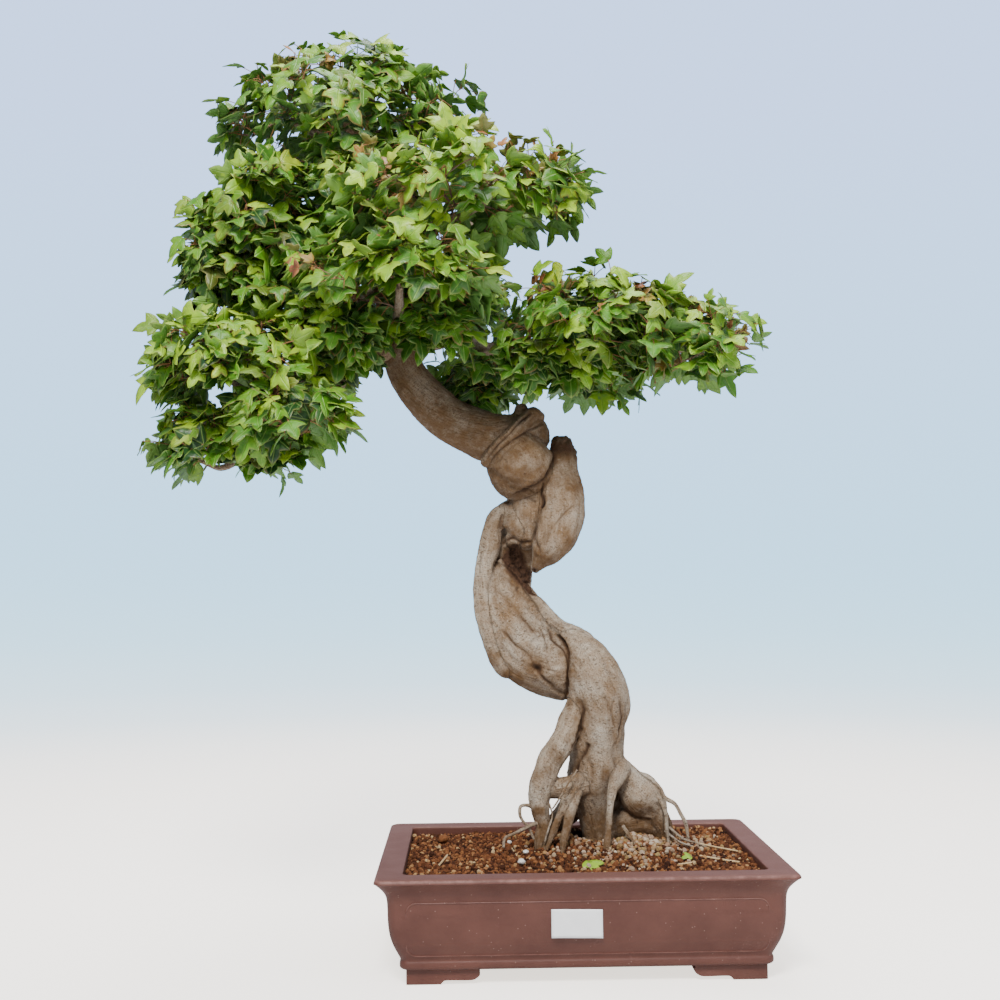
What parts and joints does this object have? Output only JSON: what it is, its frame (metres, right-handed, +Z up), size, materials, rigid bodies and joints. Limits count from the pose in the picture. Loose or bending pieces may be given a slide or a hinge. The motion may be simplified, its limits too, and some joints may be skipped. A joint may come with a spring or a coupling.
{
  "type": "bonsai tree in a pot",
  "caption": "Trained maple bonsai with a twisting, scarred trunk, spreading pads of leaves and surface roots, in a rectangular unglazed clay pot with bracket feet.",
  "frame": {"origin": "middle of the whole plant's bounding box, on the surface that the pot's feet stand on", "axes": "+Z up, +X to the right along the pot's long side, +Y towards the back"},
  "size_m": [0.6868, 0.4448, 1.0138],
  "materials": {
    "clay": "unglazed purple-brown fired clay, satin",
    "soil": "red-brown baked clay grains, matte",
    "pumice": "pale pumice and tan grit, matte",
    "bark": "grey-tan bark with lenticels and cracks, matte",
    "leaf": "green three-lobed leaves, satin",
    "straw": "dry straw, matte",
    "paper": "blank white label, satin",
    "mesh_plastic": "dark green plastic mesh, matte",
    "wire": "brown anodised wire, satin"
  },
  "bodies": {
    "root": {"pot": "clay", "soil": "soil", "top_dressing": "pumice", "trunk": "bark", "drain_screen_left": "mesh_plastic", "drain_screen_right": "mesh_plastic", "screen_clip_left": "wire", "screen_clip_right": "wire", "label": "paper", "fallen_leaf": "leaf", "small_leaf": "leaf", "clay_grain": "soil", "straw_1": "straw", "straw_2": "straw", "straw_3": "straw", "straw_4": "straw", "straw_5": "straw", "white_stone_1": "pumice", "white_stone_2": "pumice", "white_stone_3": "pumice", "apex_leaves": "leaf", "upper_left_leaves": "leaf", "upper_back_leaves": "leaf", "upper_right_leaves": "leaf", "right_shelf_leaves": "leaf", "middle_left_leaves": "leaf", "centre_leaves": "leaf", "centre_back_leaves": "leaf", "lower_left_leaves": "leaf", "left_drooping_leaves": "leaf", "left_inner_leaves": "leaf", "right_low_leaves": "leaf", "right_end_leaves": "leaf", "right_back_leaves": "leaf", "under_right_leaves": "leaf"}
  },
  "joints": []
}
